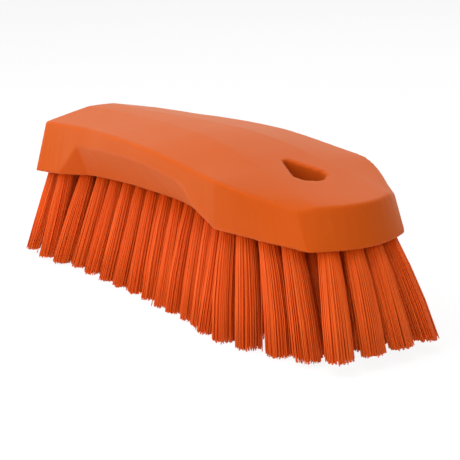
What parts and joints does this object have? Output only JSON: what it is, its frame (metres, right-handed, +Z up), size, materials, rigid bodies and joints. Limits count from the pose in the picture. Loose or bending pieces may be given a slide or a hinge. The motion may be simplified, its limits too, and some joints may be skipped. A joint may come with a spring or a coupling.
{
  "type": "hand brush",
  "caption": "Hand scrubbing brush: a moulded block with finger recesses, a crowned top and a teardrop hanging hole, set with leaning tufts of stiff bristles.",
  "frame": {"origin": "centre of the bounding box's bottom, on the surface that the bristle tips stand on", "axes": "+X towards the nose, where the hanging hole is, +Y across the brush, +Z up, away from the bristles"},
  "size_m": [0.219, 0.0764, 0.0692],
  "materials": {
    "block_plastic": "satin",
    "bristle_plastic": "satin"
  },
  "bodies": {
    "root": {"block": "block_plastic", "tuft_row_01": "bristle_plastic", "tuft_row_02": "bristle_plastic", "tuft_row_03": "bristle_plastic", "tuft_row_04": "bristle_plastic", "tuft_row_05": "bristle_plastic", "tuft_row_06": "bristle_plastic", "tuft_row_07": "bristle_plastic", "tuft_row_08": "bristle_plastic", "tuft_row_09": "bristle_plastic", "tuft_row_10": "bristle_plastic", "tuft_row_11": "bristle_plastic", "tuft_row_12": "bristle_plastic", "tuft_row_13": "bristle_plastic", "tuft_row_14_far": "bristle_plastic", "tuft_row_14_near": "bristle_plastic", "tuft_row_15_far": "bristle_plastic", "tuft_row_15_near": "bristle_plastic", "tuft_row_16_far": "bristle_plastic", "tuft_row_16_near": "bristle_plastic", "tuft_row_17": "bristle_plastic", "tuft_row_nose": "bristle_plastic", "tuft_row_rear": "bristle_plastic"}
  },
  "joints": []
}
